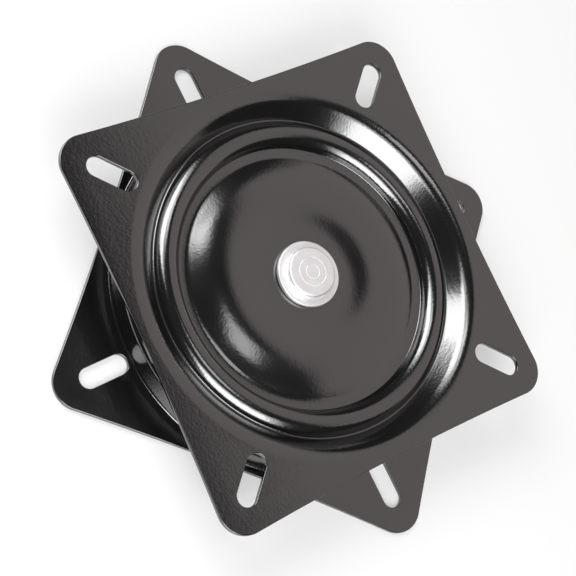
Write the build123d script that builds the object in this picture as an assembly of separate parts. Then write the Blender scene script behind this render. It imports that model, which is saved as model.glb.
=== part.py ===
from build123d import *
import math
import os

# A square swivel plate: two pressed plates turn on a ring of balls about a rivet.
# Sizes are in millimetres. Z is the swivel axis and the lower flange lies on z = 0.

# Plates
plate_side = 178.0
sheet = 2.2
overall_height = 27.5
corner_radius = 12.0
edge_draw_in = 2.2
slot_width = 9.0
slot_length = 23.0
slot_centre_radius = 97.0
lower_turn_angle = 45.0
upper_turn_angle = 88.15

# Ball race
ball_diameter = 7.94
ball_count = 18
race_radius = 65.3
race_clearance = 0.08
groove_lip_drop = 2.6
bead_depth = 3.85

# Upper pressing, as depths below its flange and runs from the ball circle
shoulder_run = 14.1
shoulder_bend = 10.0
shoulder_margin = 4.7
outer_valley_depth = 8.0
outer_valley_fillet = 0.8
inner_valley_depth = 9.2
inner_valley_fillet = 0.6
foot_run = 10.3
foot_bend = 8.0
crown_radius = 36.0
crown_depth = 5.3
seat_radius = 17.0
seat_depth = 6.9

# Lower pressing
hat_rim_run = 17.5
hat_draft = 0.9
hat_rim_bend = 2.8
hat_foot_bend = 1.0
hat_foot_margin = 1.2
groove_bend = 2.6

# Ball cage
cage_finger_reach = 3.4
cage_rail_width = 1.7
cage_thickness = 1.8
pocket_clearance = 0.25

# Pivot
shank_radius = 6.0
shank_clearance = 0.05
sleeve_radius = 8.0
pivot_clearance = 0.08
running_gap = 0.3
washer_radius = 14.75
washer_thickness = 2.2
washer_edge = 0.4
head_radius = 11.15
head_height = 3.4
head_edge_chamfer = 1.0
tool_mark_radius = 6.4
tool_mark_depth = 0.25
tail_radius = 10.0
tail_height = 3.2
tail_crown = 1.4
thrust_radius = 17.0

# Places that follow from the sizes above
upper_face = overall_height
ball_radius = ball_diameter / 2
groove_radius = ball_radius + race_clearance
bead_radius = groove_radius + sheet
race_height = upper_face - bead_depth - bead_radius
hat_height = race_height - groove_lip_drop
seat_top = upper_face - seat_depth
shoulder_radius = race_radius + shoulder_run
foot_radius = race_radius - foot_run
hat_rim_radius = race_radius + hat_rim_run
upper_join_radius = shoulder_radius + shoulder_margin
lower_join_radius = hat_rim_radius + hat_draft + hat_foot_margin
pocket_radius = ball_radius + pocket_clearance
cage_outer_radius = race_radius + pocket_radius + cage_rail_width
cage_inner_radius = race_radius - cage_finger_reach
washer_bottom = seat_top + running_gap
head_bottom = washer_bottom + washer_thickness
hat_under = hat_height - sheet
lower_washer_bottom = hat_under - washer_thickness
pivot_hole_radius = sleeve_radius + pivot_clearance
clamp_hole_radius = shank_radius + shank_clearance
section_base = -plate_side / 4
section_reach = plate_side


def pressed_ring(top_edges, bends, hole_radius, join_radius):
    """Turn a line on the outer face of a pressing into a ring of sheet metal."""
    start = top_edges[0] @ 0
    end = top_edges[-1] @ 1
    closing = Polyline((end.X, end.Y), (end.X, section_base), (start.X, section_base), (start.X, start.Y))
    solid_below = make_face(Wire([*top_edges, *closing.edges()]))
    for place, bend in bends:
        corner = solid_below.vertices().sort_by_distance(Vector(*place))[0]
        solid_below = fillet(corner, bend)
    sheet_area = solid_below - offset(solid_below, -sheet)
    width = join_radius - hole_radius
    window = Pos(hole_radius + width / 2, 0) * Rectangle(width, -2 * (section_base + 2 * sheet))
    section = sheet_area & window
    return revolve(Plane.XZ * section, Axis.Z)


def flange(join_radius, turn):
    """A square sheet with drawn-in edges, rounded corners and a slot on each half diagonal."""
    half = plate_side / 2
    drawn = half - edge_draw_in
    corners = [(half, half), (-half, half), (-half, -half), (half, -half)]
    middles = [(0, drawn), (-drawn, 0), (0, -drawn), (drawn, 0)]
    edges = [
        ThreePointArc(corners[side], middles[side], corners[(side + 1) % 4])
        for side in range(4)
    ]
    outline = make_face(Wire(edges))
    outline = fillet(outline.vertices(), corner_radius)
    slot = Pos(slot_centre_radius, 0) * SlotOverall(slot_length, slot_width)
    for quarter in range(4):
        outline -= Rot(0, 0, 45 + 90 * quarter) * slot
    outline -= Circle(join_radius)
    return extrude(Rot(0, 0, turn) * outline, sheet)


def make_upper_plate():
    """Shoulder, valley and ball bead, then a floor, a shallow crown and the seat of the pivot."""
    outer_rise = upper_face - outer_valley_depth - race_height
    outer_valley = (race_radius + math.sqrt(bead_radius**2 - outer_rise**2), race_height + outer_rise)
    inner_rise = upper_face - inner_valley_depth - race_height
    inner_valley = (race_radius - math.sqrt(bead_radius**2 - inner_rise**2), race_height + inner_rise)
    bead_top = (race_radius, race_height + bead_radius)
    shoulder = (shoulder_radius, upper_face)
    foot = (foot_radius, upper_face - inner_valley_depth)
    crown = (crown_radius, upper_face - crown_depth)
    seat_edge = (seat_radius, seat_top)
    dish_middle = ((crown_radius + seat_radius) / 2, upper_face - (crown_depth + seat_depth) / 2)
    top_edges = [
        Line((section_reach, upper_face), shoulder),
        Line(shoulder, outer_valley),
        ThreePointArc(outer_valley, bead_top, inner_valley),
        Line(inner_valley, foot),
        TangentArc(crown, foot, tangent=(1, 0)),
        TangentArc(crown, dish_middle, tangent=(-1, 0)),
        TangentArc(seat_edge, dish_middle, tangent=(1, 0)),
        Line(seat_edge, (0, seat_top)),
    ]
    bends = [
        (shoulder, shoulder_bend),
        (outer_valley, outer_valley_fillet),
        (inner_valley, inner_valley_fillet),
        (foot, foot_bend),
    ]
    ring = pressed_ring(top_edges, bends, pivot_hole_radius, upper_join_radius)
    plate = flange(upper_join_radius, upper_turn_angle)
    return ring + Pos(0, 0, upper_face - sheet) * plate


def make_lower_plate():
    """A hat pressed up from the flange, with the ball groove in its top."""
    drop = race_height - hat_height
    half_groove = math.sqrt(groove_radius**2 - drop**2)
    foot = (hat_rim_radius + hat_draft, sheet)
    rim = (hat_rim_radius, hat_height)
    groove_outer = (race_radius + half_groove, hat_height)
    groove_inner = (race_radius - half_groove, hat_height)
    groove_floor = (race_radius, race_height - groove_radius)
    top_edges = [
        Line((section_reach, sheet), foot),
        Line(foot, rim),
        Line(rim, groove_outer),
        ThreePointArc(groove_outer, groove_floor, groove_inner),
        Line(groove_inner, (0, hat_height)),
    ]
    bends = [
        (foot, hat_foot_bend),
        (rim, hat_rim_bend),
        (groove_outer, groove_bend),
        (groove_inner, groove_bend),
    ]
    ring = pressed_ring(top_edges, bends, clamp_hole_radius, lower_join_radius)
    return ring + flange(lower_join_radius, lower_turn_angle)


def round_the_race(piece):
    """Copies of a piece, evenly spaced on the race circle."""
    step = 360 / ball_count
    return [Rot(0, 0, step * index) * Pos(race_radius, 0, 0) * piece for index in range(ball_count)]


def make_ball_cage():
    """A comb ring: an outer rail with fingers between the balls."""
    bottom = hat_height + running_gap
    ring = Cylinder(cage_outer_radius, cage_thickness) - Cylinder(cage_inner_radius, cage_thickness)
    ring = Pos(0, 0, bottom + cage_thickness / 2) * ring
    pocket = Pos(0, 0, race_height) * Cylinder(pocket_radius, 4 * cage_thickness)
    return ring - round_the_race(pocket)


def washer(radius, hole, thickness, bottom, edge):
    ring = Cylinder(radius, thickness) - Cylinder(hole, thickness)
    outer_edges = ring.edges().filter_by(GeomType.CIRCLE).group_by(SortBy.RADIUS)[-1]
    return Pos(0, 0, bottom + thickness / 2) * chamfer(outer_edges, edge)


def make_centre_rivet():
    """A made head with its tool mark above, the shank, and the upset tail below."""
    head_top = head_bottom + head_height
    tail_bottom = lower_washer_bottom - tail_height
    outline = Polyline(
        (0, tail_bottom),
        (tail_radius - tail_crown, tail_bottom),
        (tail_radius, tail_bottom + tail_crown),
        (tail_radius, lower_washer_bottom),
        (shank_radius, lower_washer_bottom),
        (shank_radius, head_bottom),
        (head_radius, head_bottom),
        (head_radius, head_top - head_edge_chamfer),
        (head_radius - head_edge_chamfer, head_top),
        (tool_mark_radius + tool_mark_depth, head_top),
        (tool_mark_radius, head_top - tool_mark_depth),
        (0, head_top - tool_mark_depth),
        close=True,
    )
    return revolve(Plane.XZ * make_face(outline), Axis.Z)


parts = {
    "upper_plate": make_upper_plate(),
    "lower_plate": make_lower_plate(),
    "ball_cage": make_ball_cage(),
    "centre_rivet": make_centre_rivet(),
    "upper_washer": washer(washer_radius, clamp_hole_radius, washer_thickness, washer_bottom, washer_edge),
    "lower_washer": washer(washer_radius, clamp_hole_radius, washer_thickness, lower_washer_bottom, washer_edge),
    "spacer_sleeve": washer(sleeve_radius, clamp_hole_radius, washer_bottom - hat_height, hat_height, washer_edge / 2),
    "thrust_washer": washer(
        thrust_radius,
        pivot_hole_radius,
        seat_top - sheet - running_gap - hat_height,
        hat_height,
        washer_edge,
    ),
}
balls = round_the_race(Pos(0, 0, race_height) * Sphere(ball_radius))
parts.update({f"bearing_ball_{index:02d}": ball for index, ball in enumerate(balls, 1)})

os.makedirs("parts", exist_ok=True)
for name, piece in parts.items():
    export_step(piece, f"parts/{name}.step")
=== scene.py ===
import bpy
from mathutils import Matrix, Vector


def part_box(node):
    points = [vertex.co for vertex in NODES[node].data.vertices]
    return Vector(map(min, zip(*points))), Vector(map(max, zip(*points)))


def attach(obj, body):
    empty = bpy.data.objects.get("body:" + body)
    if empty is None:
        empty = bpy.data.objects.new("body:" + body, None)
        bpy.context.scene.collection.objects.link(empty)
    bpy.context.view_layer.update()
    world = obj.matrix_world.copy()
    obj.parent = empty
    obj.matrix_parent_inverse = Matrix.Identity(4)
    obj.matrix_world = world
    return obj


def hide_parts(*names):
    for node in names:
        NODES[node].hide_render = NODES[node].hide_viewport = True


bl_info = {
    "name": "Swivel Plate Builder",
    "version": (1, 0, 0),
    "blender": (4, 5, 0),
    "location": "View3D > Sidebar > Swivel Plate",
    "description": "Models and finishes a square two-plate swivel with a ball race",
    "category": "Add Mesh",
}

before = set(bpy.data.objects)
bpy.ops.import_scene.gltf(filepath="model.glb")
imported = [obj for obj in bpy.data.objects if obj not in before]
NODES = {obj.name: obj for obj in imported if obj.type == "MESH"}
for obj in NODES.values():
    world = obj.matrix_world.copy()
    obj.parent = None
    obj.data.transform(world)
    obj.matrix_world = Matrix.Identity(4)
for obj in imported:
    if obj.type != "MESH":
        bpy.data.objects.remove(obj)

import math

import bmesh
import bpy
from bpy.props import FloatProperty, FloatVectorProperty, PointerProperty
from bpy.types import Operator, Panel, PropertyGroup
from mathutils import Matrix, Vector

MM = 0.001
QUARTER_TURN = math.pi / 2
FULL_TURN = 2 * math.pi

# Places that come from the frame
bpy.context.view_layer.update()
UPPER_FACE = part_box("upper_plate")[1].z
LOWER_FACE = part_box("lower_plate")[0].z
BALL_BOTTOM, BALL_TOP = (corner.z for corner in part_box("bearing_ball_01"))
BALL_RADIUS = (BALL_TOP - BALL_BOTTOM) / 2
RACE_HEIGHT = (BALL_TOP + BALL_BOTTOM) / 2

# How finely the round forms are cut
RING_STEPS = 256
SMALL_RING_STEPS = 128
ARC_STEP = math.radians(6)
LEAST_ARC_STEPS = 5
CORNER_STEPS = 20
SIDE_STEPS = 16
SLOT_END_STEPS = 16
RIM_STEPS = 3
FLOOR_STEPS = 96
SHARP_ANGLE = math.radians(50)

# Vertices nearer to each other than these are merged
OUTLINE_MERGE = 0.02 * MM
PLATE_MERGE = 0.005 * MM
SMALL_MERGE = 0.0001 * MM

# A vertex nearer to a diagonal than this angle lies on it
DIAGONAL_ANGLE = 1e-4

# The flat strip inside a rounded edge, as a share of the rounding
RIM_SUPPORT = 0.2

# Two lines in one plane can't be bridged reliably, so a rounding begins this far off the face
HAIR = 0.001 * MM


def length(name, description, millimetres):
    """A size in metres, given in millimetres."""
    return FloatProperty(
        name=name, description=description, default=millimetres * MM, unit="LENGTH", precision=5
    )


def angle(name, description, degrees):
    """An angle in radians, given in degrees."""
    return FloatProperty(
        name=name, description=description, default=math.radians(degrees), unit="ROTATION"
    )


def amount(name, description, value):
    """A plain number from 0 up."""
    return FloatProperty(name=name, description=description, default=value, min=0)


def share(name, description, value):
    """A number from 0 to 1."""
    return FloatProperty(
        name=name, description=description, default=value, min=0, max=1, subtype="FACTOR"
    )


def colour(name, description, rgb):
    """A colour as linear red, green and blue."""
    return FloatVectorProperty(
        name=name, description=description, default=rgb, subtype="COLOR", size=3, min=0, max=1
    )


class SwivelSheetSizes(PropertyGroup):
    """Sizes that both pressed plates share."""

    side: length("Side", "Length of a plate's side between its sharp corners", 178.0)
    sheet: length("Sheet", "Thickness of the sheet metal", 2.2)
    corner: length("Corner radius", "Radius of a plate's corners", 12.0)
    draw_in: length("Draw-in", "How far the middle of a side is drawn in by the pressing", 2.2)
    slot_width: length("Slot width", "Width of a corner slot", 9.0)
    slot_length: length("Slot length", "Overall length of a corner slot", 23.0)
    slot_centre: length("Slot place", "Distance of a slot's middle from the swivel axis", 97.0)
    rim_round: length("Rim round", "Radius of the sheared edges", 0.35)
    lower_turn: angle("Lower turn", "Turn of the lower plate about the swivel axis", 45.0)
    upper_turn: angle("Upper turn", "Turn of the upper plate about the swivel axis", 88.15)


class SwivelUpperSizes(PropertyGroup):
    """Section of the upper pressing, with depths below its flange."""

    shoulder: length("Shoulder radius", "Where the flange turns down", 79.4)
    shoulder_bend: length("Shoulder bend", "Outer radius of the bend at the shoulder", 10.0)
    shoulder_margin: length("Shoulder margin", "Width from the shoulder out to the flat flange", 4.7)
    outer_valley: length("Outer valley depth", "Depth of the valley outside the bead", 8.0)
    outer_fillet: length("Outer valley bend", "Bend radius in the outer valley", 0.8)
    inner_valley: length("Floor depth", "Depth of the floor inside the bead", 9.2)
    inner_fillet: length("Inner valley bend", "Bend radius between the bead and the floor", 0.6)
    foot: length("Foot radius", "Where the floor meets the crown", 55.0)
    foot_bend: length("Foot bend", "Bend radius at the foot of the crown", 8.0)
    crown: length("Crown radius", "Distance of the crown's highest ring from the axis", 36.0)
    crown_depth: length("Crown depth", "Depth of the crown's highest ring", 5.3)
    seat: length("Seat radius", "Radius of the flat seat round the pivot", 17.0)
    seat_depth: length("Seat depth", "Depth of the pivot's seat", 6.9)
    bead_depth: length("Bead depth", "Depth of the top of the ball bead", 3.85)
    race: length("Race radius", "Radius of the circle of ball centres", 65.3)
    race_clearance: length("Race clearance", "Gap between ball and groove", 0.08)
    hole: length("Pivot hole radius", "Radius of the hole that turns on the sleeve", 8.08)


class SwivelLowerSizes(PropertyGroup):
    """Section of the lower pressing, a hat with a ball groove in its top."""

    height: length("Hat height", "Height of the hat's top above the flange's outer face", 14.8)
    rim: length("Hat rim radius", "Radius of the hat at its top", 82.8)
    draft: length("Hat draft", "How much wider the hat is at its foot", 0.9)
    rim_bend: length("Rim bend", "Outer radius of the bend at the hat's rim", 2.8)
    foot_bend: length("Foot bend", "Bend radius at the foot of the hat", 1.0)
    foot_margin: length("Foot margin", "Width from the foot out to the flat flange", 1.2)
    groove_bend: length("Groove bend", "Bend radius at both lips of the groove", 2.6)


class SwivelPivotSizes(PropertyGroup):
    """Sizes of the rivet and its washers."""

    head: length("Head radius", "Radius of the rivet's head", 11.15)
    head_height: length("Head height", "Height of the rivet's head", 3.4)
    head_round: length("Head edge", "Radius of the head's upper edge", 1.0)
    head_foot: length("Head foot", "Radius of the head's lower edge", 0.3)
    mark: length("Tool mark radius", "Radius of the ring that the tool left in the head", 6.4)
    inner_mark: length("Inner mark radius", "Radius of the smaller ring in the head", 3.2)
    mark_depth: length("Tool mark depth", "Depth of the tool's marks", 0.08)
    washer: length("Washer radius", "Radius of the bright washers", 14.75)
    washer_edge: length("Washer edge", "Radius of a washer's rolled edge", 0.5)
    shank: length("Shank radius", "Radius of the rivet's shank", 6.0)
    clearance: length("Shank clearance", "Gap between the shank and the holes it passes", 0.05)
    tail: length("Tail radius", "Radius of the upset tail", 10.0)
    tail_height: length("Tail height", "Height of the upset tail", 3.2)
    tail_crown: length("Tail crown", "Radius of the tail's lower edge", 1.4)


class SwivelFinish(PropertyGroup):
    """Colours and surface values of the finishes."""

    paint: colour("Paint", "Colour of the black paint", (0.005, 0.005, 0.0053))
    paint_index: amount("Paint index", "Refractive index of the paint, which sets its gloss", 2.2)
    paint_roughness: share("Paint roughness", "Roughness of the paint's surface", 0.14)
    peel: share("Orange peel", "Strength of the paint's fine ripple", 0.11)
    zinc: colour("Zinc", "Colour of the bright zinc plate", (0.95, 0.95, 0.955))
    zinc_smoothest: share("Zinc smoothest", "Roughness of the plate's smoothest blotches", 0.50)
    zinc_roughest: share("Zinc roughest", "Roughness of the plate's roughest blotches", 0.62)
    steel: colour("Steel", "Colour of the balls", (0.62, 0.63, 0.65))
    cage: colour("Cage", "Colour of the ball cage", (0.035, 0.035, 0.038))
    nylon: colour("Nylon", "Colour of the thrust washer", (0.78, 0.76, 0.70))


class SwivelStudio(PropertyGroup):
    """Camera, floor, room and lamps."""

    lens: FloatProperty(
        name="Lens", description="Focal length in millimetres", default=93.9, unit="CAMERA"
    )
    floor: colour("Floor", "Colour of the floor", (0.46, 0.46, 0.46))
    floor_glow: amount("Floor glow", "What the floor adds where the camera or a mirror sees it", 0.41)
    room: amount("Room", "Strength of the room's light on the part", 0.03)
    backdrop: amount("Backdrop", "Strength of the room where the camera sees it", 1.0)
    left_box: amount("Left box", "Radiance of the soft box on the left", 2.2)
    left_core: amount("Left core", "Radiance that the middle of the left box adds", 5.0)
    left_low_box: amount("Left low box", "Radiance of the narrow box below it", 2.0)
    left_top_box: amount("Left top box", "Radiance of the small box above it", 3.0)
    right_box: amount("Right box", "Radiance of the soft box on the right", 2.2)
    right_core: amount("Right core", "Radiance that the middle of the right box adds", 5.0)
    panel: amount("Back panel", "Radiance of each of the two pale panels behind", 0.29)
    panel_tint: colour("Panel tint", "Colour of the two panels' light", (1.0, 0.91, 0.91))
    overhead: amount("Overhead lamp", "Radiance of the small lamp above the part", 2.5)


class SwivelSettings(PropertyGroup):
    """All sizes, finishes and studio values, in groups."""

    sheet: PointerProperty(type=SwivelSheetSizes)
    upper: PointerProperty(type=SwivelUpperSizes)
    lower: PointerProperty(type=SwivelLowerSizes)
    pivot: PointerProperty(type=SwivelPivotSizes)
    finish: PointerProperty(type=SwivelFinish)
    studio: PointerProperty(type=SwivelStudio)


def settings():
    """The values of the current scene."""
    return bpy.context.scene.swivel


# Drawing with a moving vertex

def run_to(bm, vertex, place):
    """Draw an edge from a vertex to a place and give its end."""
    end = bmesh.ops.extrude_vert_indiv(bm, verts=[vertex])["verts"][0]
    end.co = place
    return end


def carry(bm, vertex, centre, axis, turn, steps):
    """Carry a vertex round an axis, draw its path, and give the last vertex made."""
    spun = bmesh.ops.spin(bm, geom=[vertex], cent=centre, axis=axis, angle=turn, steps=steps)
    return next(item for item in spun["geom_last"] if isinstance(item, bmesh.types.BMVert))


# Sections of the turned forms

class Section:
    """A line of straight runs and arcs in the plane of radius and height."""

    def __init__(self, start):
        self.joints = [(Vector(start), None, 0)]

    def line(self, to):
        """A straight run to a point."""
        self.joints.append((Vector(to), None, 0))

    def arc(self, centre, to, side):
        """An arc to a point. The side is 1 where the metal lies at the centre, and -1 where the air does."""
        self.joints.append((Vector(to), Vector(centre), side))

    def inner(self, sheet):
        """The same line on the other face of the sheet."""
        other = Section((0, 0))
        other.joints = [
            (point - sheet * self.normal(index), centre, side)
            for index, (point, centre, side) in enumerate(self.joints)
        ]
        return other

    def normal(self, index):
        """The outward direction at a joint, from the arc that begins or ends there."""
        for _, centre, side in self.joints[index:index + 2]:
            if centre is not None:
                return side * (self.joints[index][0] - centre).normalized()
        return Vector((0, 1))

    def draw(self, bm):
        """Draw the line as edges, and give its last vertex."""
        start = self.joints[0][0]
        vertex = bm.verts.new((start.x, 0, start.y))
        for point, centre, _ in self.joints[1:]:
            if centre is None:
                vertex = run_to(bm, vertex, (point.x, 0, point.y))
            else:
                before = Vector((vertex.co.x, vertex.co.z)) - centre
                turn = before.angle_signed(point - centre)
                steps = max(LEAST_ARC_STEPS, math.ceil(abs(turn) / ARC_STEP))
                vertex = carry(bm, vertex, (centre.x, 0, centre.y), (0, 1, 0), turn, steps)
        return vertex


def corner_arc(before, corner, after, bend):
    """Start, centre and end of the arc that rounds a corner between two straight runs."""
    towards = (Vector(before) - Vector(corner)).normalized()
    away = (Vector(after) - Vector(corner)).normalized()
    half = towards.angle(away) / 2
    reach = bend / math.tan(half)
    centre = Vector(corner) + (towards + away).normalized() * (bend / math.sin(half))
    return Vector(corner) + towards * reach, centre, Vector(corner) + away * reach


def valley_arc(corner, along, open_side, circle_centre, circle_radius, bend):
    """Point on the straight run, centre, and point on the circle of a bend in a valley."""
    direction = Vector(along).normalized()
    base = Vector(corner) + Vector(open_side).normalized() * bend - Vector(circle_centre)
    reach = circle_radius + bend
    middle = -base.dot(direction)
    shift = middle + math.sqrt(middle * middle - base.length_squared + reach * reach)
    centre = Vector(circle_centre) + base + direction * shift
    on_line = Vector(corner) + direction * shift
    on_circle = Vector(circle_centre) + (centre - Vector(circle_centre)) * (circle_radius / reach)
    return on_line, centre, on_circle


def lip_arc(centre, groove, top, bend, side):
    """Point on the hat's top, centre, and point in the groove of the bend at one lip."""
    height = top - bend
    reach = groove + bend
    across = math.sqrt(reach**2 - (centre.y - height) ** 2)
    bend_centre = Vector((centre.x + side * across, height))
    on_wall = centre + (bend_centre - centre) * (groove / reach)
    return Vector((bend_centre.x, top)), bend_centre, on_wall


def circle_through(level_point, other):
    """Radius of the circle that is level at one point and passes through another."""
    run = other.x - level_point.x
    fall = level_point.y - other.y
    return abs((run * run + fall * fall) / (2 * fall))


def upper_section(top):
    """The outer face of the upper pressing, from the flange in to the pivot hole."""
    u = settings().upper
    bead = BALL_RADIUS + u.race_clearance + settings().sheet.sheet
    centre = Vector((u.race, top - u.bead_depth - bead))

    # The shoulder and the wall down to the bead
    rise = top - u.outer_valley - centre.y
    valley = Vector((u.race + math.sqrt(bead**2 - rise**2), centre.y + rise))
    shoulder = Vector((u.shoulder, top))
    outside = (u.shoulder + u.shoulder_margin, top)
    line = Section(outside)
    start, bend, end = corner_arc(outside, shoulder, valley, u.shoulder_bend)
    line.line(start)
    line.arc(bend, end, 1)
    up = (shoulder - valley).normalized()
    open_side = Vector((-up.y, up.x))
    on_wall, bend, on_bead = valley_arc(valley, up, open_side, centre, bead, u.outer_fillet)
    line.line(on_wall)
    line.arc(bend, on_bead, -1)

    # Over the bead to the floor
    floor = top - u.inner_valley
    floor_corner = Vector((u.race - math.sqrt(bead**2 - (floor - centre.y) ** 2), floor))
    on_floor, bend, on_bead = valley_arc(floor_corner, (-1, 0), (0, 1), centre, bead, u.inner_fillet)
    line.arc(centre, on_bead, 1)
    line.arc(bend, on_floor, -1)

    # Up the crown
    crown = Vector((u.crown, top - u.crown_depth))
    foot = Vector((u.foot, floor))
    crown_radius = circle_through(crown, foot)
    crown_centre = crown - Vector((0, crown_radius))
    on_floor, bend, on_crown = valley_arc(foot, (1, 0), (0, 1), crown_centre, crown_radius, u.foot_bend)
    line.line(on_floor)
    line.arc(bend, on_crown, -1)
    line.arc(crown_centre, crown, 1)

    # Down into the seat
    seat = Vector((u.seat, top - u.seat_depth))
    middle = (crown + seat) / 2
    dish_radius = circle_through(crown, middle)
    line.arc(crown - Vector((0, dish_radius)), middle, 1)
    line.arc(seat + Vector((0, dish_radius)), seat, -1)
    line.line((u.hole, seat.y))
    return line


def lower_section(base):
    """The top face of the lower pressing, from the flange in to the rivet hole."""
    w = settings().lower
    u = settings().upper
    p = settings().pivot
    groove = BALL_RADIUS + u.race_clearance
    centre = Vector((u.race, RACE_HEIGHT))
    flange = base + settings().sheet.sheet
    top = base + w.height
    foot = Vector((w.rim + w.draft, flange))
    rim = Vector((w.rim, top))
    outside = Vector((foot.x + w.foot_margin, flange))

    # The foot, the wall and the rim of the hat
    line = Section(outside)
    start, bend, end = corner_arc(outside, foot, rim, w.foot_bend)
    line.line(start)
    line.arc(bend, end, -1)
    start, bend, end = corner_arc(foot, rim, (u.race, top), w.rim_bend)
    line.line(start)
    line.arc(bend, end, 1)

    # The ball groove and the hat's flat top
    outer_lip, outer_bend, outer_wall = lip_arc(centre, groove, top, w.groove_bend, 1)
    inner_lip, inner_bend, inner_wall = lip_arc(centre, groove, top, w.groove_bend, -1)
    line.line(outer_lip)
    line.arc(outer_bend, outer_wall, 1)
    line.arc(centre, inner_wall, -1)
    line.arc(inner_bend, inner_lip, 1)
    line.line((p.shank + p.clearance, top))
    return line


def ring_section(inner, outer, low, high, edge):
    """The closed section of a washer with rolled outer edges."""
    line = Section((inner, low))
    line.line((outer - edge, low))
    line.arc((outer - edge, low + edge), (outer, low + edge), 1)
    line.line((outer, high - edge))
    line.arc((outer - edge, high - edge), (outer - edge, high), 1)
    line.line((inner, high))
    line.line((inner, low))
    return line


def rivet_section(low, high):
    """From the axis under the tail, out and up to the head, and back in over the tool marks."""
    p = settings().pivot
    line = Section((0, low))
    line.line((p.tail - p.tail_crown, low))
    line.arc((p.tail - p.tail_crown, low + p.tail_crown), (p.tail, low + p.tail_crown), 1)
    line.line((p.tail, low + p.tail_height))
    line.line((p.shank, low + p.tail_height))
    base = high - p.head_height
    foot = p.head - p.head_foot
    line.line((p.shank, base))
    line.line((foot, base))
    line.arc((foot, base + p.head_foot), (p.head, base + p.head_foot), 1)
    edge = p.head - p.head_round
    line.line((p.head, high - p.head_round))
    line.arc((edge, high - p.head_round), (edge, high), 1)

    # Each mark is a groove between two slopes, with a line on the flat face at either side of it
    slope = 2 * p.mark_depth
    for radius in (p.mark, p.inner_mark):
        for place in (2, 1, 0, -1, -2):
            depth = 0 if place else p.mark_depth
            line.line((radius + place * slope, high - depth))
    line.line((0, high))
    return line


# Outlines of the flat forms

def close_loop(bm, known_vertices, known_edges):
    """Join the ends of newly drawn lines into a loop and give its edges."""
    vertices = [v for v in bm.verts if v not in known_vertices]
    bmesh.ops.remove_doubles(bm, verts=vertices, dist=OUTLINE_MERGE)
    loop = [e for e in bm.edges if e not in known_edges]
    if any(len(v.link_edges) != 2 for e in loop for v in e.verts):
        raise RuntimeError("an outline does not close")
    return loop


def plate_outline(bm, inset, height):
    """The square outline with drawn-in sides and round corners, moved in from the edge."""
    s = settings().sheet
    half = s.side / 2

    # Each side is an arc about a centre far outside the plate, which the corners' arcs touch
    side_radius = (half**2 + s.draw_in**2) / (2 * s.draw_in)
    far = half - s.draw_in + side_radius
    reach = side_radius + s.corner
    corner = (far - math.sqrt(2 * reach**2 - far**2)) / 2
    side_arc = 2 * math.atan2(corner, far - corner)
    corner_arc_turn = QUARTER_TURN + side_arc
    radius = s.corner - inset
    first = Vector((math.cos(-side_arc / 2), math.sin(-side_arc / 2), 0)) * radius
    known_vertices = set(bm.verts)
    known_edges = set(bm.edges)
    for quarter in range(4):
        spin = Matrix.Rotation(quarter * QUARTER_TURN, 3, "Z")
        start = spin @ (Vector((corner, corner, 0)) + first)
        vertex = bm.verts.new((start.x, start.y, height))
        centre = spin @ Vector((corner, corner, height))
        vertex = carry(bm, vertex, centre, (0, 0, 1), corner_arc_turn, CORNER_STEPS)
        centre = spin @ Vector((0, far, height))
        carry(bm, vertex, centre, (0, 0, 1), -side_arc, SIDE_STEPS)
    return close_loop(bm, known_vertices, known_edges)


def slot_outline(bm, inset, height, turn):
    """One corner slot. A positive inset moves its line out into the sheet."""
    s = settings().sheet
    radius = s.slot_width / 2 + inset
    half = (s.slot_length - s.slot_width) / 2
    spin = Matrix.Rotation(turn, 3, "Z")
    known_vertices = set(bm.verts)
    known_edges = set(bm.edges)
    for side in (1, -1):
        centre = spin @ Vector((s.slot_centre + side * half, 0, height))
        vertex = bm.verts.new(centre + spin @ Vector((0, -side * radius, 0)))
        vertex = carry(bm, vertex, centre, (0, 0, 1), math.pi, SLOT_END_STEPS)
        run_to(bm, vertex, vertex.co + spin @ Vector((-side * 2 * half, 0, 0)))
    return close_loop(bm, known_vertices, known_edges)


def rim_lines(low, high, rounding):
    """Inset and height of each line of a sheared edge, from the lower face up to the upper one."""
    support = rounding * (1 + RIM_SUPPORT)
    lower = [(support, low)]
    upper = [(support, high)]
    for step in range(RIM_STEPS + 1):
        bend = step / RIM_STEPS * QUARTER_TURN
        inset = rounding * (1 - math.sin(bend))
        rise = max(HAIR, rounding * (1 - math.cos(bend)))
        lower.append((inset, low + rise))
        upper.append((inset, high - rise))
    return lower + upper[::-1]


# Plates and turned pieces

def fill_flat(bm, edges):
    """Close the flat sheet between its loops, in four parts that meet along the diagonals."""
    vertices = {v for e in edges for v in e.verts}
    cuts = []
    for quarter in range(4):
        diagonal = Vector((1, 1)) @ Matrix.Rotation(-quarter * QUARTER_TURN, 2)
        on_it = [v for v in vertices if v.co.xy.angle(diagonal) < DIAGONAL_ANGLE]
        ring, slot_in, slot_out, corner = sorted(on_it, key=lambda v: v.co.xy.length)
        cuts.append([bm.edges.new((ring, slot_in)), bm.edges.new((slot_out, corner))])
    parts = [[], [], [], []]
    for edge in edges:
        middle = (edge.verts[0].co + edge.verts[1].co) / 2
        bearing = (math.atan2(middle.y, middle.x) - QUARTER_TURN / 2) % FULL_TURN
        parts[int(bearing // QUARTER_TURN)].append(edge)
    for quarter, part in enumerate(parts):
        bmesh.ops.edgeloop_fill(bm, edges=part + cuts[quarter] + cuts[(quarter + 1) % 4])


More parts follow.
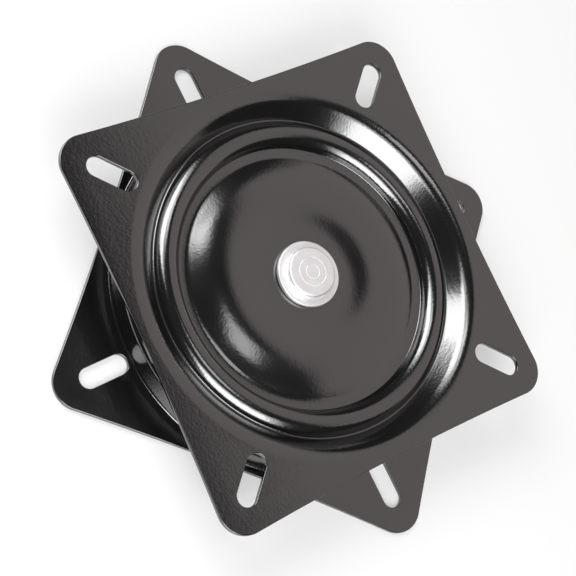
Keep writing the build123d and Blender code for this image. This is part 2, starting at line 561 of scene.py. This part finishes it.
def flat_flange(bm, join_radius, low, high):
    """The flat sheet round the turned middle, with its slots and all its sheared edges."""
    bottoms, tops = [], []
    for edges, height in ((bottoms, low), (tops, high)):
        ring = bmesh.ops.create_circle(
            bm, segments=RING_STEPS, radius=join_radius, matrix=Matrix.Translation((0, 0, height))
        )["verts"]
        edges += {e for v in ring for e in v.link_edges}
    lines = rim_lines(low, high, settings().sheet.rim_round)
    rims = [[plate_outline(bm, inset, height) for inset, height in lines]]
    for quarter in range(4):
        turn = (quarter + 0.5) * QUARTER_TURN
        rims.append([slot_outline(bm, inset, height, turn) for inset, height in lines])

    # In metres the lines of a rim lie too close for the bridging to tell them apart
    bmesh.ops.scale(bm, vec=(1 / MM,) * 3, verts=bm.verts)
    for rim in rims:
        for before, after in zip(rim, rim[1:]):
            bmesh.ops.bridge_loops(bm, edges=before + after)
        bottoms += rim[0]
        tops += rim[-1]
    fill_flat(bm, bottoms)
    fill_flat(bm, tops)
    bmesh.ops.scale(bm, vec=(MM,) * 3, verts=bm.verts)


def turn_once(bm, profile, steps, merge):
    """Turn a profile once round the swivel axis and close the shell it makes."""
    bmesh.ops.spin(
        bm, geom=profile, cent=(0, 0, 0), axis=(0, 0, 1), angle=FULL_TURN, steps=steps, use_merge=True
    )
    bmesh.ops.remove_doubles(bm, verts=bm.verts, dist=merge)
    bmesh.ops.recalc_face_normals(bm, faces=bm.faces)


def pressed_plate(name, section, low, high, turn):
    """A whole plate: the turned middle with the flat flange round it."""
    bm = bmesh.new()
    flat_flange(bm, section.joints[0][0].x, low, high)
    flat = set(bm.verts) | set(bm.edges)
    outer_end = section.draw(bm)
    inner_end = section.inner(settings().sheet.sheet).draw(bm)
    bm.edges.new((outer_end, inner_end))
    profile = [item for item in (*bm.verts, *bm.edges) if item not in flat]
    turn_once(bm, profile, RING_STEPS, PLATE_MERGE)
    bmesh.ops.rotate(bm, verts=bm.verts, cent=(0, 0, 0), matrix=Matrix.Rotation(turn, 3, "Z"))
    if not all(e.is_contiguous for e in bm.edges):
        raise RuntimeError(f"{name} is not closed")
    return finished_object(name, bm)


def turned_piece(name, section):
    """A piece turned on the swivel axis from a closed section."""
    bm = bmesh.new()
    section.draw(bm)
    bmesh.ops.remove_doubles(bm, verts=bm.verts, dist=SMALL_MERGE)
    turn_once(bm, [*bm.verts, *bm.edges], SMALL_RING_STEPS, SMALL_MERGE)
    return finished_object(name, bm)


def finished_object(name, bm):
    """An object from a bmesh, smooth except at its sharp edges."""
    mesh = bpy.data.meshes.new(name)
    bm.to_mesh(mesh)
    bm.free()
    for polygon in mesh.polygons:
        polygon.use_smooth = True
    mesh.set_sharp_from_angle(angle=SHARP_ANGLE)
    piece = bpy.data.objects.new(name, mesh)
    bpy.context.scene.collection.objects.link(piece)
    return piece


def dress(piece, material):
    """Give a piece one material in place of any it has."""
    piece.data.materials.clear()
    piece.data.materials.append(material)


# Materials

# Sockets of the Mix node that share their names with others
MIX_FACTOR = 0
MIX_FLOAT_A = 2
MIX_FLOAT_OUT = 0
MIX_COLOUR_A = 6
MIX_COLOUR_B = 7
MIX_COLOUR_OUT = 2

# How far a finish strays from its own value over a piece, as shares of it
DARKER = 0.85
LIGHTER = 1.2
GRAIN_LIGHTER = 1.1
BLOTCH_DARKER = 0.94
SMOOTHER = 0.85
ROUGHER = 1.2

# How many times wider the broad grain of a plain finish is than its fine one
GRAIN_RATIO = 6


def new_material(name):
    """A material, its nodes, its links and its shader."""
    material = bpy.data.materials.new(name)
    material.use_nodes = True
    nodes = material.node_tree.nodes
    return material, nodes, material.node_tree.links, nodes["Principled BSDF"]


def made_once(name, make):
    """A material by name, made the first time it is asked for."""
    return bpy.data.materials.get(name) or make()


def ripple_group():
    """Fine uneven height in two scales, for paint, plate and plastic."""
    name = "Surface ripple"
    if name in bpy.data.node_groups:
        return bpy.data.node_groups[name]
    group = bpy.data.node_groups.new(name, "ShaderNodeTree")
    sockets = (
        ("Vector", "INPUT", "NodeSocketVector", None),
        ("Fine Scale", "INPUT", "NodeSocketFloat", 1000.0),
        ("Broad Scale", "INPUT", "NodeSocketFloat", 60.0),
        ("Broad Share", "INPUT", "NodeSocketFloat", 0.5),
        ("Height", "OUTPUT", "NodeSocketFloat", None),
    )
    for label, in_out, kind, value in sockets:
        socket = group.interface.new_socket(name=label, in_out=in_out, socket_type=kind)
        if value is not None:
            socket.default_value = value
    nodes, links = group.nodes, group.links
    inputs = nodes.new("NodeGroupInput")
    outputs = nodes.new("NodeGroupOutput")
    mix = nodes.new("ShaderNodeMix")
    for index, (scale, detail) in enumerate((("Fine Scale", 1.5), ("Broad Scale", 1.0))):
        noise = nodes.new("ShaderNodeTexNoise")
        noise.inputs["Detail"].default_value = detail
        links.new(inputs.outputs["Vector"], noise.inputs["Vector"])
        links.new(inputs.outputs[scale], noise.inputs["Scale"])
        links.new(noise.outputs["Fac"], mix.inputs[MIX_FLOAT_A + index])
    links.new(inputs.outputs["Broad Share"], mix.inputs[MIX_FACTOR])
    links.new(mix.outputs[MIX_FLOAT_OUT], outputs.inputs["Height"])
    return group


def add_ripple(nodes, links, shader, fine, broad, broad_share, strength, distance):
    """Bump from the ripple group on a shader's normal. Gives the piece's coordinates and the height."""
    place = nodes.new("ShaderNodeTexCoord").outputs["Object"]
    ripple = nodes.new("ShaderNodeGroup")
    ripple.node_tree = ripple_group()
    ripple.inputs["Fine Scale"].default_value = fine
    ripple.inputs["Broad Scale"].default_value = broad
    ripple.inputs["Broad Share"].default_value = broad_share
    height = ripple.outputs["Height"]
    bump = nodes.new("ShaderNodeBump")
    bump.inputs["Strength"].default_value = strength
    bump.inputs["Distance"].default_value = distance
    links.new(place, ripple.inputs["Vector"])
    links.new(height, bump.inputs["Height"])
    links.new(bump.outputs["Normal"], shader.inputs["Normal"])
    return place, height


def add_noise(nodes, links, place, scale, detail):
    """Noise on a piece's coordinates, as a mask."""
    noise = nodes.new("ShaderNodeTexNoise")
    noise.inputs["Scale"].default_value = scale
    noise.inputs["Detail"].default_value = detail
    links.new(place, noise.inputs["Vector"])
    return noise.outputs["Fac"]


def vary_colour(nodes, links, shader, mask, dark, light):
    """Base colour that a mask leads from a dark tone to a light one."""
    tone = nodes.new("ShaderNodeMix")
    tone.data_type = "RGBA"
    tone.inputs[MIX_COLOUR_A].default_value = (*dark, 1)
    tone.inputs[MIX_COLOUR_B].default_value = (*light, 1)
    links.new(mask, tone.inputs[MIX_FACTOR])
    links.new(tone.outputs[MIX_COLOUR_OUT], shader.inputs["Base Color"])


def vary_roughness(nodes, links, shader, mask, smoothest, roughest):
    """Roughness that a mask leads from one value to another."""
    spread = nodes.new("ShaderNodeMapRange")
    spread.inputs["To Min"].default_value = smoothest
    spread.inputs["To Max"].default_value = roughest
    links.new(mask, spread.inputs["Value"])
    links.new(spread.outputs["Result"], shader.inputs["Roughness"])


def shaded(rgb, share_of_it):
    """A colour, darker or lighter by a share of itself."""
    return [min(1, share_of_it * value) for value in rgb]


def paint_material():
    """Gloss black paint with a fine orange peel."""
    f = settings().finish
    material, nodes, links, shader = new_material("black_gloss_paint")
    shader.inputs["IOR"].default_value = f.paint_index
    place, _ = add_ripple(
        nodes, links, shader,
        fine=1000.0, broad=480.0, broad_share=0.35, strength=f.peel, distance=0.4 * MM,
    )
    cloud = add_noise(nodes, links, place, scale=55.0, detail=3.0)
    vary_colour(nodes, links, shader, cloud, shaded(f.paint, DARKER), shaded(f.paint, LIGHTER))
    vary_roughness(
        nodes, links, shader, cloud, SMOOTHER * f.paint_roughness, ROUGHER * f.paint_roughness
    )
    return material


def zinc_material():
    """Bright zinc plate with faint blotches and a fine grain."""
    f = settings().finish
    material, nodes, links, shader = new_material("bright_zinc")
    shader.inputs["Metallic"].default_value = 1.0
    place, _ = add_ripple(
        nodes, links, shader,
        fine=1800.0, broad=300.0, broad_share=0.4, strength=0.05, distance=0.3 * MM,
    )
    blotch = add_noise(nodes, links, place, scale=220.0, detail=4.0)
    vary_colour(nodes, links, shader, blotch, shaded(f.zinc, BLOTCH_DARKER), f.zinc)
    vary_roughness(nodes, links, shader, blotch, f.zinc_smoothest, f.zinc_roughest)
    return material


def plain_material(name, rgb, metallic, roughness, fine):
    """A finish of one tone with grain in its colour, gloss and surface."""
    material, nodes, links, shader = new_material(name)
    shader.inputs["Metallic"].default_value = metallic
    _, height = add_ripple(
        nodes, links, shader,
        fine=fine, broad=fine / GRAIN_RATIO, broad_share=0.4, strength=0.08, distance=0.3 * MM,
    )
    vary_colour(nodes, links, shader, height, shaded(rgb, DARKER), shaded(rgb, GRAIN_LIGHTER))
    vary_roughness(nodes, links, shader, height, SMOOTHER * roughness, ROUGHER * roughness)
    return material


# Pieces

class SWIVEL_OT_upper_plate(Operator):
    """Model the upper pressing and paint it"""

    bl_idname = "swivel.upper_plate"
    bl_label = "Upper plate"

    def execute(self, context):
        s = settings().sheet
        top = UPPER_FACE
        piece = pressed_plate("upper_pressing", upper_section(top), top - s.sheet, top, s.upper_turn)
        dress(piece, made_once("black_gloss_paint", paint_material))
        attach(piece, "top")
        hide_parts("upper_plate")
        return {"FINISHED"}


class SWIVEL_OT_lower_plate(Operator):
    """Model the lower pressing and paint it"""

    bl_idname = "swivel.lower_plate"
    bl_label = "Lower plate"

    def execute(self, context):
        s = settings().sheet
        base = LOWER_FACE
        piece = pressed_plate("lower_pressing", lower_section(base), base, base + s.sheet, s.lower_turn)
        dress(piece, made_once("black_gloss_paint", paint_material))
        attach(piece, "base")
        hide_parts("lower_plate")
        return {"FINISHED"}


class SWIVEL_OT_pivot(Operator):
    """Model the rivet and the two bright washers"""

    bl_idname = "swivel.pivot"
    bl_label = "Rivet and washers"

    def execute(self, context):
        p = settings().pivot
        for node in ("upper_washer", "lower_washer"):
            low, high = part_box(node)
            section = ring_section(p.shank + p.clearance, p.washer, low.z, high.z, p.washer_edge)
            self.place(turned_piece(node + "_finished", section), node)
        low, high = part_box("centre_rivet")
        self.place(turned_piece("headed_rivet", rivet_section(low.z, high.z)), "centre_rivet")
        return {"FINISHED"}

    @staticmethod
    def place(piece, node):
        """Plate a piece with zinc and put it in the frame in place of its node."""
        dress(piece, made_once("bright_zinc", zinc_material))
        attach(piece, "base")
        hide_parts(node)


class SWIVEL_OT_race(Operator):
    """Finish the balls and their cage"""

    bl_idname = "swivel.race"
    bl_label = "Balls and cage"

    def execute(self, context):
        f = settings().finish
        steel = plain_material("ball_steel", f.steel, metallic=1.0, roughness=0.12, fine=900.0)
        plastic = plain_material("cage_plastic", f.cage, metallic=0.0, roughness=0.45, fine=700.0)
        for name, node in NODES.items():
            if name.startswith("bearing_ball"):
                dress(node, steel)
        dress(NODES["ball_cage"], plastic)
        return {"FINISHED"}


class SWIVEL_OT_bushes(Operator):
    """Finish the spacer sleeve and the thrust washer"""

    bl_idname = "swivel.bushes"
    bl_label = "Sleeve and thrust washer"

    def execute(self, context):
        f = settings().finish
        nylon = plain_material("nylon", f.nylon, metallic=0.0, roughness=0.4, fine=600.0)
        dress(NODES["spacer_sleeve"], made_once("bright_zinc", zinc_material))
        dress(NODES["thrust_washer"], nylon)
        return {"FINISHED"}


# Stage

FLOOR_RADIUS = 4.0

# The camera's place and its right and up directions, as they fit both plates in the picture
CAMERA_PLACE = Vector((29.061, -344.519, 572.918)) * MM
CAMERA_RIGHT = Vector((0.44354, 0.77759, 0.44567))
CAMERA_UP = Vector((-0.89519, 0.36011, 0.2626))

# The picture's side and its shift on the sensor, in pixels
PICTURE_SIDE = 576
PICTURE_SHIFT_X = 2.0
PICTURE_SHIFT_Y = -1.3


def placed(name, data, right, up, back, place):
    """A lamp or camera at a place, looking against its back direction."""
    item = bpy.data.objects.new(name, data)
    matrix = Matrix((right, up, back)).transposed().to_4x4()
    matrix.translation = place
    item.matrix_world = matrix
    bpy.context.scene.collection.objects.link(item)
    return item


def seen_rays(nodes, links):
    """1 for rays from the camera, in reflections and through glass."""
    path = nodes.new("ShaderNodeLightPath")
    result = path.outputs["Is Camera Ray"]
    for other in ("Is Glossy Ray", "Is Transmission Ray"):
        either = nodes.new("ShaderNodeMath")
        either.operation = "MAXIMUM"
        links.new(result, either.inputs[0])
        links.new(path.outputs[other], either.inputs[1])
        result = either.outputs[0]
    return result


def soft_box(name, tilt, bearing, distance, width, height, radiance, tint=(1, 1, 1)):
    """A flat lamp that faces the part, from a tilt off the zenith and a bearing from +X, in degrees."""
    data = bpy.data.lights.new(name, "AREA")
    data.shape = "RECTANGLE"
    data.size = width
    data.size_y = height
    data.energy = radiance * math.pi * width * height
    data.color = tint
    tilt = math.radians(tilt)
    bearing = math.radians(bearing)
    out = Vector((math.sin(tilt) * math.cos(bearing), math.sin(tilt) * math.sin(bearing), math.cos(tilt)))
    across = Vector((-math.sin(bearing), math.cos(bearing), 0))
    lamp = placed(name, data, across, out.cross(across), out, out * distance)
    lamp.visible_camera = False


class SWIVEL_OT_stage(Operator):
    """Set the floor, the lamps and the camera"""

    bl_idname = "swivel.stage"
    bl_label = "Stage"

    def execute(self, context):
        context.scene.view_settings.view_transform = "Standard"
        studio = settings().studio
        self.floor(studio)
        self.world(studio)
        self.lamps(studio)
        self.camera(studio)
        return {"FINISHED"}

    @staticmethod
    def floor(studio):
        """A matt floor that looks white where the camera or a mirror sees it, and keeps its shadows."""
        bm = bmesh.new()
        bmesh.ops.create_circle(bm, cap_ends=True, segments=FLOOR_STEPS, radius=FLOOR_RADIUS)
        piece = finished_object("studio_floor", bm)
        material, nodes, links, shader = new_material("studio_floor")
        nodes.remove(shader)
        diffuse = nodes.new("ShaderNodeBsdfDiffuse")
        diffuse.inputs["Color"].default_value = (*studio.floor, 1)
        glow = nodes.new("ShaderNodeEmission")
        strength = nodes.new("ShaderNodeMath")
        strength.operation = "MULTIPLY"
        strength.inputs[1].default_value = studio.floor_glow
        links.new(seen_rays(nodes, links), strength.inputs[0])
        links.new(strength.outputs[0], glow.inputs["Strength"])
        both = nodes.new("ShaderNodeAddShader")
        links.new(diffuse.outputs[0], both.inputs[0])
        links.new(glow.outputs[0], both.inputs[1])
        links.new(both.outputs[0], nodes["Material Output"].inputs["Surface"])
        dress(piece, material)

    @staticmethod
    def world(studio):
        """A dark room that the camera sees as white."""
        world = bpy.data.worlds.new("studio_room")
        bpy.context.scene.world = world
        world.use_nodes = True
        nodes, links = world.node_tree.nodes, world.node_tree.links
        background = nodes["Background"]
        path = nodes.new("ShaderNodeLightPath")
        strength = nodes.new("ShaderNodeMapRange")
        strength.inputs["To Min"].default_value = studio.room
        strength.inputs["To Max"].default_value = studio.backdrop
        background.inputs["Color"].default_value = (1, 1, 1, 1)
        links.new(path.outputs["Is Camera Ray"], strength.inputs["Value"])
        links.new(strength.outputs["Result"], background.inputs["Strength"])

    @staticmethod
    def lamps(studio):
        """Soft boxes at both sides, two panels behind and a small lamp above."""
        # Tilt and bearing in degrees, then distance, width and height in metres
        soft_box("left_box", 44, 192, 1.2, 0.9, 0.8, studio.left_box)
        soft_box("left_core", 47, 196, 1.15, 0.72, 0.5, studio.left_core)
        soft_box("left_low_box", 66, 203, 1.2, 0.28, 0.4, studio.left_low_box)
        soft_box("left_top_box", 28, 172, 1.2, 0.24, 0.22, studio.left_top_box)
        soft_box("right_box", 47, 318, 1.2, 1.0, 0.95, studio.right_box)
        soft_box("right_core", 51, 316, 1.15, 0.76, 0.7, studio.right_core)
        soft_box("back_panel", 60, 84, 1.3, 2.1, 1.87, studio.panel, studio.panel_tint)
        soft_box("back_panel_top", 54, 84, 1.35, 1.9, 1.71, studio.panel, studio.panel_tint)
        soft_box("overhead", 7, 33, 1.2, 0.34, 0.24, studio.overhead)

    @staticmethod
    def camera(studio):
        """The camera, looking down on the part from one side."""
        data = bpy.data.cameras.new("view")
        data.sensor_width = 36.0
        data.lens = studio.lens
        data.shift_x = PICTURE_SHIFT_X / PICTURE_SIDE
        data.shift_y = PICTURE_SHIFT_Y / PICTURE_SIDE
        back = CAMERA_RIGHT.cross(CAMERA_UP)
        bpy.context.scene.camera = placed("view", data, CAMERA_RIGHT, CAMERA_UP, back, CAMERA_PLACE)


class SWIVEL_PT_panel(Panel):
    """Buttons for the pieces and the stage, with the values that they use"""

    bl_label = "Swivel Plate"
    bl_idname = "SWIVEL_PT_panel"
    bl_space_type = "VIEW_3D"
    bl_region_type = "UI"
    bl_category = "Swivel Plate"

    def draw(self, context):
        for operator in OPERATORS:
            self.layout.operator(operator.bl_idname)
        for group in (getattr(settings(), name) for name in GROUPS):
            box = self.layout.box()
            box.label(text=(group.__doc__ or type(group).__name__).strip())
            for name in group.__annotations__:
                box.prop(group, name)


GROUPS = ("sheet", "upper", "lower", "pivot", "finish", "studio")
OPERATORS = (
    SWIVEL_OT_upper_plate,
    SWIVEL_OT_lower_plate,
    SWIVEL_OT_pivot,
    SWIVEL_OT_race,
    SWIVEL_OT_bushes,
    SWIVEL_OT_stage,
)
CLASSES = (
    SwivelSheetSizes,
    SwivelUpperSizes,
    SwivelLowerSizes,
    SwivelPivotSizes,
    SwivelFinish,
    SwivelStudio,
    SwivelSettings,
    *OPERATORS,
    SWIVEL_PT_panel,
)


def register():
    """Register the classes and give the scene its settings."""
    for item in CLASSES:
        bpy.utils.register_class(item)
    bpy.types.Scene.swivel = PointerProperty(type=SwivelSettings)


def unregister():
    """Take the settings and the classes away again."""
    del bpy.types.Scene.swivel
    for item in reversed(CLASSES):
        bpy.utils.unregister_class(item)


def main():
    """Build the part and the stage."""
    register()
    for operator in OPERATORS:
        group, name = operator.bl_idname.split(".")
        getattr(getattr(bpy.ops, group), name)()


if __name__ == "__main__":
    main()
